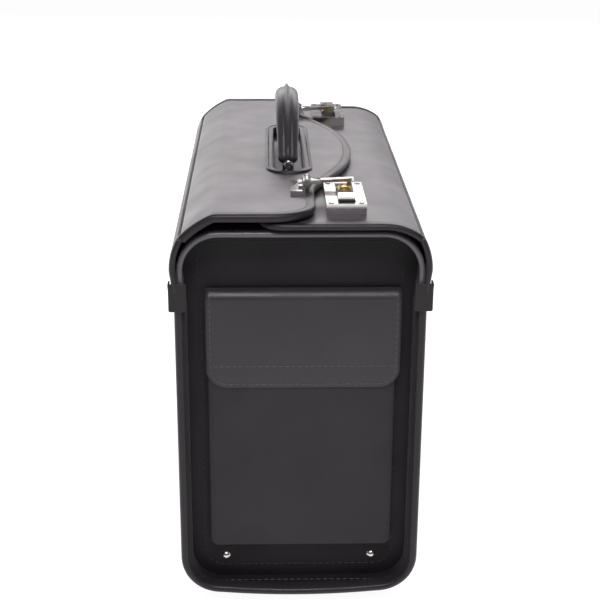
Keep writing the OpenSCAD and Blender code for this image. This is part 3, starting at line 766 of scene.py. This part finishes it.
def make_rims():
    points = [(0.2, 11.0), (-1.3, 9.6), (-2.0, 7.5), (-2.0, 4.4), (-1.5, 2.2), (-0.4, 0.7), (1.2, 0.0),
              (2.8, 0.0), (4.2, 0.7), (5.0, 2.0), (5.6, 4.5), (7.3, 8.6), (7.3, 9.5)]
    section = [(s * MM, d * MM) for s, d in points]
    for end, name in ((-1, "near"), (1, "far")):
        line = resample(rim_outline(), 3 * MM)
        if end < 0:
            edge_sweep("near_rim_edge", line, section, end_place(end, END_Y), BOUND, body="case",
                       replaces=("near_rim_binding",))
        for side, word in ((-1, "left"), (1, "right")):
            reach = LEAN + CORNER_R * SEAM_A - HINGE_GAP
            line = resample([(17 * MM, -LID_Y + 2 * MM), (reach, -LID_Y + 2 * MM)], 2 * MM) * [1, -end]
            if end > 0:
                line = line[::-1]
            edge_sweep(f"{name}_{word}_wall_edge", line, bead(WALL_EDGE, 5.0, 0.3), wall_place(side), BOUND,
                       body="case")
    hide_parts("wrap_bindings")
    paint(BOUND, "far_rim_binding")
    soften(1.2, "far_rim_binding", segments=3)


TAB_WIDTH = 15.3 * MM
TAB_PROUD = 3.2 * MM
TAB_RETURN = 10 * MM
TAB_FOLD_R = 2 * MM
TAB_THICK = 1.2 * MM
TAB_HIGH = 25 * MM


def make_tabs():
    """Folded leather tabs over the joins in the rim: a lapped front with a rounded, folded top edge."""
    lo_tab, hi_tab = lo("rim_tabs"), hi("rim_tabs")
    low, top = lo_tab.z, hi_tab.z
    first = None
    for end in (-1, 1):
        for side in (-1, 1):
            front = END_Y + TAB_PROUD
            x0, x1 = hi_tab.x - TAB_WIDTH, hi_tab.x
            r = TAB_FOLD_R
            profile = np.vstack([[[x0, 0.0]], [[x1 - r, 0.0]],
                                 arc(x1 - r, r, r, -90, 0, 6), [[x1, TAB_RETURN]]])
            profile = resample(profile, 1.2 * MM)
            n = inward_normals(profile, False)
            heights = np.concatenate([[0, 0.3, 0.9], np.linspace(1.6, 23.4, 10), [24.1, 24.7, 25]]) * MM
            verts, faces = [], []
            for layer in (0, 1):
                for h in heights:
                    t = h / TAB_HIGH
                    edge = min(h, TAB_HIGH - h)
                    round_off = 0.6 * MM * max(0.0, 1 - edge / (0.9 * MM)) ** 2
                    puff = 0.45 * MM * math.exp(-((h - 22.6 * MM) / (1.6 * MM)) ** 2)
                    for q, m in zip(profile, n):
                        depth = round_off - puff if layer == 0 else TAB_THICK - round_off
                        x = q[0] + m[0] * depth
                        y = q[1] + m[1] * depth
                        verts.append((side * x, CASE_Y + end * (front - y), low + t * (top - low)))
            w, rows = len(profile), len(heights)
            half = w * rows
            for i in range(rows - 1):
                for k in range(w - 1):
                    a, b, c, d = i * w + k, i * w + k + 1, (i + 1) * w + k + 1, (i + 1) * w + k
                    faces += [(a, b, c, d), (a + half, d + half, c + half, b + half)]
            for i in range(rows - 1):
                for k in (0, w - 1):
                    a, b = i * w + k, (i + 1) * w + k
                    faces.append((a, b, b + half, a + half))
            for i in (0, rows - 1):
                for k in range(w - 1):
                    a, b = i * w + k, i * w + k + 1
                    faces.append((a, b, b + half, a + half))
            name = f"{'near' if end < 0 else 'far'}_{'left' if side < 0 else 'right'}_rim_tab"
            piece = make_piece(name, verts, faces, TAB_LEATHER, body="case", angle=60)
            first = first or piece
    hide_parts("rim_tabs")


# ---------------------------------------------------------------- end pocket

POCKET_CORNER_R = 5 * MM
FLAP_CORNER_R = 18 * MM
FLAP_FOLD_R = 9.1 * MM


def make_pocket():
    a, b = lo("near_pocket"), hi("near_pocket")
    front = -(a.y - CASE_Y)
    r = POCKET_CORNER_R
    outline = np.vstack([[[a.x, b.z]], arc(a.x + r, a.z + r, r, 180, 270, 8),
                         arc(b.x - r, a.z + r, r, 270, 360, 8), [[b.x, b.z]]])
    rows = np.linspace(a.z + 0.05 * MM, b.z - 0.05 * MM, 60)

    def span(z):
        inset = r - math.sqrt(max(0.0, r * r - max(0.0, a.z + r - z) ** 2))
        return (a.x + inset, b.x - inset)
    place = end_place(-1, front)
    flipped = outline[:, ::-1]
    # The pocket front takes the darkened leather, which carries painted shade.
    skin("pocket_front", rows, span, flipped, lambda z, x, d: place(x, z, d), 1.6 * MM,
         POCKET_SHADED_LEATHER, crown=1.1 * MM, reach=45 * MM, across=60, body="case",
         replaces=("near_pocket", "pocket_magnet"))
    section = [(s * MM, d * MM) for s, d in
               ((0.3, 0.9), (0.9, 3.0), (2.0, 4.9), (0.9, 7.0), (0.2, 9.2), (1.4, 9.2), (2.2, 7.0),
                (3.3, 4.9), (2.2, 3.0), (1.5, 0.9))]
    line = resample(outline, 2.5 * MM)
    # The gusset uses the darkened panel leather, which carries painted shade.
    edge_sweep("pocket_gusset", line, section, place, PANEL_SHADED_LEATHER, body="case", angle=60)
    inset = 3.6 * MM
    for word, x in (("left", a.x + inset), ("right", b.x - inset)):
        path = [place(x, z, -0.1 * MM) for z in np.arange(a.z + inset, b.z, 1 * MM)]
        stitches(f"pocket_{word}_stitches", path, (0, -1, 0), 5.6 * MM, 4.0 * MM, 0.8 * MM, THREAD,
                 "case")


def make_flap():
    a, b = lo("pocket_flap"), hi("pocket_flap")
    fold = FLAP_FOLD_R
    front = -a.y
    top = b.z
    low = a.z
    centre_y, centre_z = -front + fold, top - fold
    lead = 2.5 * MM
    turn = fold * math.pi / 2
    drop = centre_z - low
    total = lead + turn + drop

    def place(u, x, d):
        """u runs from the panel over the fold and down the front."""
        if u < lead:
            return (x, centre_y + (lead - u), top - d)
        if u < lead + turn:
            t = (u - lead) / fold
            return (x, centre_y - (fold - d) * math.sin(t), centre_z + (fold - d) * math.cos(t))
        s = (u - lead - turn) / drop
        swell = 1.3 * MM * math.sin(math.pi * min(1, s * 1.02)) ** 0.8 if 0 < s < 0.98 else 0.0
        return (x, -front + d - swell, centre_z - (u - lead - turn))
    r = FLAP_CORNER_R
    outline = np.vstack([[[0, a.x]], [[total - r, a.x]],
                         arc(total - r, a.x + r, r, -90, 0, 12),
                         arc(total - r, b.x - r, r, 0, 90, 12), [[0, b.x]]])

    def span(u):
        over = max(0.0, u - (total - r))
        inset = r - math.sqrt(max(0.0, r * r - over * over))
        return (a.x + inset, b.x - inset)
    rows = np.unique(np.concatenate([np.linspace(0.02 * MM, lead, 3), np.linspace(lead, lead + turn, 14),
                                     np.linspace(lead + turn, total - r, 24),
                                     total - r + r * np.sin(np.linspace(0, math.pi / 2, 22)) * 0.9995]))
    skin("pocket_flap_leather", rows, span, outline, place, 2.6 * MM, FLAP_LEATHER, edge=1.3 * MM,
         crown=0.3 * MM, reach=12 * MM, across=60, body="pocket_flap",
         replaces=("pocket_flap", "flap_magnet"))
    inset = 3.8 * MM
    edge = np.vstack([[[lead + turn * 0.6, a.x + inset]], [[total - r, a.x + inset]],
                      arc(total - r, a.x + r, r - inset, -90, 0, 12)])
    far_edge = edge[::-1] * [1, -1] + [0, a.x + b.x]
    whole = resample(np.vstack([edge, far_edge]), 1 * MM)
    path = [place(u, x, -0.25 * MM) for u, x in whole]
    stitches("flap_edge_stitches", path, (0, -1, 0.02), 5.7 * MM, 4.2 * MM, 0.85 * MM, THREAD_LIGHT,
             "pocket_flap")
    row = total - 21 * MM
    path = [place(row, x, -0.3 * MM) for x in np.arange(a.x + 5 * MM, b.x - 5 * MM, 1 * MM)]
    stitches("flap_row_stitches", path, (0, -1, 0.02), 5.7 * MM, 4.2 * MM, 0.85 * MM, THREAD_LIGHT,
             "pocket_flap")


# ---------------------------------------------------------------- handle

BOW_R = 82 * MM
BOW_A = 50
BOW_Z = 335 * MM
LOOP_Y = 83.2 * MM


def make_handle():
    """A padded bow with a raised seam along its outer side, a little narrower at its two ends."""
    x0 = (lo("handle_grip").x + hi("handle_grip").x) / 2
    r, a = BOW_R, math.radians(BOW_A)
    centre = LIFT + BOW_Z
    base = lo("handle_grip").z
    half = [(r * math.sin(t), centre + r * math.cos(t)) for t in np.linspace(0, a, 24)]
    run = (half[-1][1] - base) / math.sin(a)
    half += [(half[-1][0] + run * t * math.cos(a), half[-1][1] - run * t * math.sin(a))
             for t in (0.5, 1.0)]
    right = np.array(half)
    path = resample(np.vstack([right[::-1] * [-1, 1], right[1:]]), 2.5 * MM)
    tangent = np.gradient(path, axis=0)
    tangent /= np.linalg.norm(tangent, axis=1)[:, None]
    outward = np.stack([-tangent[:, 1], tangent[:, 0]], 1)
    along = np.r_[0, np.cumsum(np.linalg.norm(np.diff(path, axis=0), axis=1))]
    total, sides = along[-1], 72
    verts, faces = [], []
    for q, n, s in zip(path, outward, along):
        end = min(s, total - s)
        t = min(1.0, end / (60 * MM))
        grow = t * t * (3 - 2 * t)
        tip = math.sqrt(max(0.0, 1 - max(0.0, 1 - end / (3 * MM)) ** 2)) * 0.25 + 0.75
        w = (9.2 + 1.9 * grow) * MM * tip
        h = (7.2 + 1.2 * grow) * MM * tip
        seam = 3.0 * MM * min(1.0, end / (14 * MM))
        for k in range(sides):
            b = 2 * math.pi * k / sides
            across, up = math.sin(b), math.cos(b)
            rise = h * up
            if up > 0:
                rise += seam * math.exp(-(across * w / (1.35 * MM)) ** 2)
                rise -= 0.5 * MM * math.exp(-((abs(across) * w - 3.1 * MM) / (0.8 * MM)) ** 2)
            verts.append((x0 + w * across, HW_Y + q[0] + n[0] * rise, q[1] + n[1] * rise))
    count = len(path)
    for i in range(count - 1):
        for k in range(sides):
            m = (k + 1) % sides
            faces.append((i * sides + k, i * sides + m, (i + 1) * sides + m, (i + 1) * sides + k))
    faces.append(tuple(range(sides)))
    faces.append(tuple((count - 1) * sides + k for k in range(sides)))
    grip = make_piece("padded_grip", verts, faces, GRIP_LEATHER, body="handle",
                      replaces=("handle_grip",), slot="leather_trim", angle=80)


def make_loops():
    """Upright wire loops on the inner lid, one in front of each end of the grip, with a foot plate."""
    x0, wire = -8.0 * MM, 1.15 * MM
    half, top, foot = 3.1 * MM, LIFT + 373 * MM, INNER_TOP
    path = np.vstack([[[x0 - half, foot]], arc(x0, top - half, half, 180, 0, 14), [[x0 + half, foot]]])
    path = resample(path, 1 * MM)
    normals = inward_normals(path, False)
    verts, faces, sides = [], [], 12
    for end in (-1, 1):
        y = HW_Y + end * LOOP_Y
        start = len(verts)
        for q, n in zip(path, normals):
            for k in range(sides):
                a = 2 * math.pi * k / sides
                verts.append((q[0] + n[0] * wire * math.cos(a), y + wire * math.sin(a),
                              q[1] + n[1] * wire * math.cos(a)))
        faces += tube_faces(start, len(path), sides)
        for (wx, wy, z0, z1) in ((3.6, 1.0, 0.5, 9.5), (5.5, 3.0, 0.0, 1.2)):
            start = len(verts)
            ring = arc(0, 0, 1, 45, 315, 3)
            for z in (z0, z1):
                for a, b in ring * math.sqrt(2):
                    verts.append((x0 + a * wx * MM, y - end * 0.6 * MM + b * wy * MM, foot + z * MM))
            faces += tube_faces(start, 2, 4)
    make_piece("handle_loops", verts, faces, CHROME, body="inner_lid", replaces=("handle_posts",),
               slot="chrome")


# ---------------------------------------------------------------- seams

# How far the sunk strip stops short of the lids' ends
SEAM_SHORT = 7 * MM


def make_seams():
    """The leather that bridges each lid's seam: a sunk strip along it, and a bound edge at each end
    that carries on from the wall's edge to the lid's."""
    y0 = LID_Y - SEAM_SHORT
    reach = LEAN + CORNER_R * SEAM_A - HINGE_GAP
    section = [(-3.2, 3.0), (-1.8, 2.8), (-0.8, 2.5), (0, 2.4), (0.8, 2.5), (1.8, 2.8), (3.2, 3.0),
               (3.2, 3.8), (0, 3.3), (-3.2, 3.8)]
    for side, lid, place in ((-1, "outer_lid", outer_place), (1, "inner_lid", inner_place)):
        hinge = Vector((side * HINGE_X, CASE_Y, HINGE_Z))
        out = Vector((side * math.cos(SEAM_A), 0, math.sin(SEAM_A)))
        up = Vector((-side * math.sin(SEAM_A), 0, math.cos(SEAM_A)))
        stations = np.linspace(-y0, y0, 24)
        verts = []
        for y in stations:
            for t, d in section:
                q = hinge + up * t * MM - out * d * MM
                verts.append((q.x, CASE_Y + y, q.z))
        word = "left" if side < 0 else "right"
        # The sunk strip takes the near-black leather, painted shade of the gap along the seam.
        strip = make_piece(f"{word}_seam_strip", verts, tube_faces(0, len(stations), len(section)),
                           SEAM_PAINTED_SHADE, slot="leather_trim")
        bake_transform(strip)
        verts, faces = [], []
        lid_thick = OUTER_EDGE_T if side < 0 else INNER_EDGE_T
        for end in (-1, 1):
            wall = [wall_place(side)(reach - 0.2 * MM, end * (LID_Y - 2 * MM - s), d)
                    for s, d in bead(WALL_EDGE, 5.0, 0.3)]
            far = [place(HINGE_GAP + 0.2 * MM, end * (LID_Y - s), d)
                   for s, d in bead(LID_BORDER, lid_thick, EDGE_PROUD)]
            start, rings = len(verts), 7
            middle = [(hinge.x - out.x * d, CASE_Y + end * (LID_Y - 1 * MM - s), hinge.z - out.z * d)
                      for s, d in bead(8.2, 5.6, 0.2)]
            for t in np.linspace(0, 1, rings):
                for a, m, b in zip(wall, middle, far):
                    verts.append(tuple((1 - t) ** 2 * a[k] + 2 * t * (1 - t) * m[k] + t * t * b[k]
                                       for k in range(3)))
            faces += tube_faces(start, rings, len(wall))
        piece = make_piece(f"{word}_seam_leather", verts, faces, BOUND, slot="leather_trim")
        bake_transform(piece)
        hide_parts(f"{word}_hinge_strip")


# ---------------------------------------------------------------- end panel stitching

def tray_outline(inset):
    """The end tray's inner outline in (x, z), inset from the wall's outer face."""
    right = np.vstack([
        arc(HALF_W - FOOT_R, LIFT + FOOT_R, FOOT_R - inset, -90, 0, 10),
        [[HALF_W - inset, LEAN_Z]],
        arc(69 * MM, LIFT + 314 * MM, 39 * MM - inset, 0, 90, 14)])
    return np.vstack([right[::-1] * [-1, 1], right])


def make_panel_stitches():
    for end, name in ((-1, "near"), (1, "far")):
        line = resample(tray_outline(19.5 * MM), 1 * MM, closed=True)
        place = end_place(end, PANEL_Y)
        path = [place(x, z, -0.15 * MM) for x, z in line]
        stitches(f"{name}_panel_stitches", path, (0, end, 0), 6 * MM, 4.3 * MM, 0.8 * MM, THREAD, "case")
        floor = LIFT + 7.5 * MM
        xs = np.arange(-70 * MM, 70.5 * MM, 1 * MM)
        path = [(x, CASE_Y + end * (PANEL_Y + 8.5 * MM), floor + 0.15 * MM) for x in xs]
        stitches(f"{name}_rim_floor_stitches", path, (0, 0, 1), 6 * MM, 4.3 * MM, 0.9 * MM, THREAD_LIGHT,
                 "case")


def finish_frame():
    soften(0.5, "near_lock_case", "far_lock_case", "near_hasp_plate", "far_hasp_plate", "handle_posts",
           "handle_shackles", segments=2)
    soften(0.9, "near_hasp", "far_hasp", "near_slider", "far_slider", segments=3)
    soften(0.4, "trolley_outer_tubes", "trolley_mid_tubes", "trolley_inner_tubes", "trolley_button")
    soften(1.5, "trolley_grip", "trolley_top_bracket", "trolley_base_bracket", "wheel_housings",
           segments=3)
    soften(1.0, "left_tyre", "right_tyre", "feet", segments=3)
    soften(0.6, "left_wheel_hub", "right_wheel_hub", "divider", "base_board")
    for obj in NODES.values():
        smooth(obj, 30)


make_camera()
make_stage()
paint_frame()
make_lids()
make_rims()
make_tabs()
make_pocket()
make_flap()
make_handle()
make_loops()
make_seams()
make_panel_stitches()
finish_frame()
